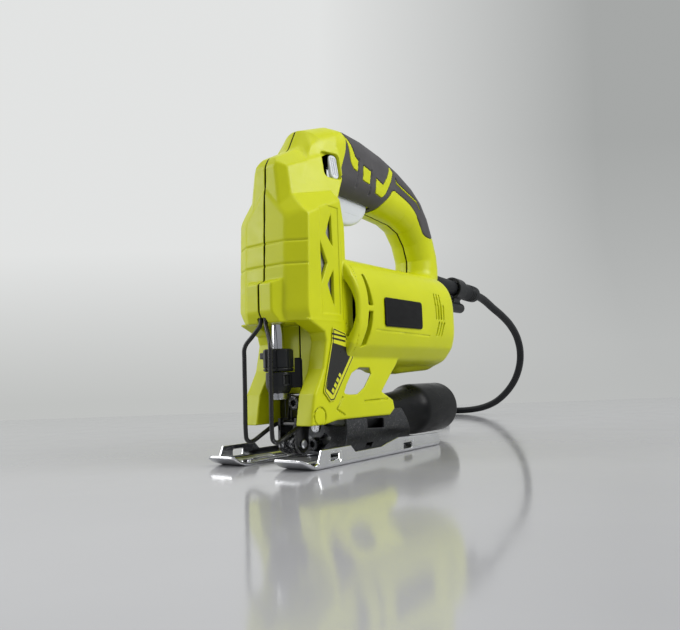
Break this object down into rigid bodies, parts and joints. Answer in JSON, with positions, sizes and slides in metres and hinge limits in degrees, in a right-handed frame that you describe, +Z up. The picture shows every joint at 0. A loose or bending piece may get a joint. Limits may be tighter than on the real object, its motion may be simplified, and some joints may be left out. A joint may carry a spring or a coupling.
{
  "type": "jigsaw power tool",
  "caption": "Corded jigsaw with a D-handle, clamshell housing, reciprocating plunger, wire finger guard and a bevel-tilting pressed shoe.",
  "frame": {"origin": "centre of the shoe's sole, on the surface the tool stands on", "axes": "+X the cutting direction, +Y the tool's left, +Z up"},
  "size_m": [0.4625, 0.2355, 0.202],
  "materials": {
    "lime_abs": "satin moulded, fine texture",
    "charcoal_grip": "soft overmould, matt",
    "pale_abs": "satin moulded",
    "black_nylon": "satin moulded",
    "black_metal": "semi-gloss paint",
    "cord_rubber": "matt",
    "dark_steel": "oiled, scratched",
    "bright_steel": "bright, lightly scratched",
    "die_cast": "as cast",
    "copper": "enamelled wire",
    "bronze": "sintered",
    "carbon": "pressed carbon"
  },
  "bodies": {
    "housing": {"housing_left": "lime_abs", "housing_right": "lime_abs", "grip_left": "charcoal_grip", "grip_right": "charcoal_grip", "head_screw": "dark_steel", "handle_screw": "dark_steel", "spine_screw": "dark_steel", "wall_screw": "dark_steel", "leg_screw": "dark_steel", "leg_label": "black_nylon", "barrel_badge": "black_nylon", "trigger_pin": "dark_steel", "switch_module": "black_nylon", "front_bearing": "bright_steel", "rear_bearing": "bright_steel", "stator_core": "dark_steel", "field_coil_left": "copper", "field_coil_right": "copper", "brush_left": "carbon", "brush_right": "carbon", "brush_holder_left": "bronze", "brush_holder_right": "bronze", "gear_case": "die_cast", "lower_bush": "bronze", "upper_bush": "bronze", "gear_axle": "bright_steel", "roller_bracket": "black_metal", "roller_axle": "dark_steel", "bracket_screw": "dark_steel", "finger_guard": "black_metal", "base_block": "die_cast", "front_bevel_pin": "bright_steel", "rear_bevel_pin": "bright_steel", "bevel_screw": "dark_steel", "cord_guard": "cord_rubber", "key_holder": "cord_rubber", "hex_key": "dark_steel", "cord": "cord_rubber", "cord_coil": "cord_rubber", "plug_body": "black_nylon", "plug_pin_left": "bright_steel", "plug_pin_right": "bright_steel"},
    "trigger": {"trigger": "pale_abs"},
    "lock_button": {"lock_button": "pale_abs"},
    "armature": {"armature_shaft": "bright_steel", "armature_core": "dark_steel", "armature_windings": "copper", "commutator": "copper", "cooling_fan": "black_nylon"},
    "drive_gear": {"drive_gear": "dark_steel"},
    "plunger": {"plunger_rod": "bright_steel", "scotch_yoke": "die_cast", "clamp_head": "black_nylon", "clamp_tip": "bright_steel"},
    "clamp_collar": {"clamp_collar": "black_nylon"},
    "guide_roller": {"guide_roller": "dark_steel"},
    "shoe": {"shoe": "bright_steel", "saddle": "dark_steel", "dust_outlet": "black_nylon"}
  },
  "joints": [
    {"name": "trigger_pull", "type": "hinge", "parent": "housing", "child": "trigger", "pos_m": [-0.0354, 0, 0.1646], "axis": [0, -1, 0], "range_deg": [0, 9], "stiffness_Nm_per_rad": 0.6, "springref_deg": -5.73},
    {"name": "lock_slide", "type": "slide", "parent": "housing", "child": "lock_button", "axis": [0.9871, -0.1601, 0], "range_m": [0, 0.0045], "stiffness_N_per_m": 400, "springref_m": -0.002},
    {"name": "armature_spin", "type": "hinge", "parent": "housing", "child": "armature", "pos_m": [0, 0, 0.0845], "axis": [1, 0, 0], "continuous": true},
    {"name": "gear_spin", "type": "hinge", "parent": "housing", "child": "drive_gear", "pos_m": [0.024, 0, 0.1055], "axis": [1, 0, 0], "continuous": true},
    {"name": "plunger_stroke", "type": "slide", "parent": "housing", "child": "plunger", "axis": [0, 0, 1], "range_m": [-0.009, 0.009]},
    {"name": "clamp_release", "type": "hinge", "parent": "plunger", "child": "clamp_collar", "pos_m": [0.046, 0, 0.045], "axis": [0, 0, -1], "range_deg": [0, 50], "stiffness_Nm_per_rad": 0.05, "springref_deg": -11.46},
    {"name": "roller_spin", "type": "hinge", "parent": "housing", "child": "guide_roller", "pos_m": [0.035, 0, 0.01], "axis": [0, 1, 0], "continuous": true},
    {"name": "bevel_tilt", "type": "hinge", "parent": "housing", "child": "shoe", "pos_m": [-0.014, 0, 0.0175], "axis": [1, 0, 0], "range_deg": [-45, 45]}
  ],
  "couplings": [
    {"joint": "gear_spin", "follows": "armature_spin", "ratio": -0.16667}
  ]
}
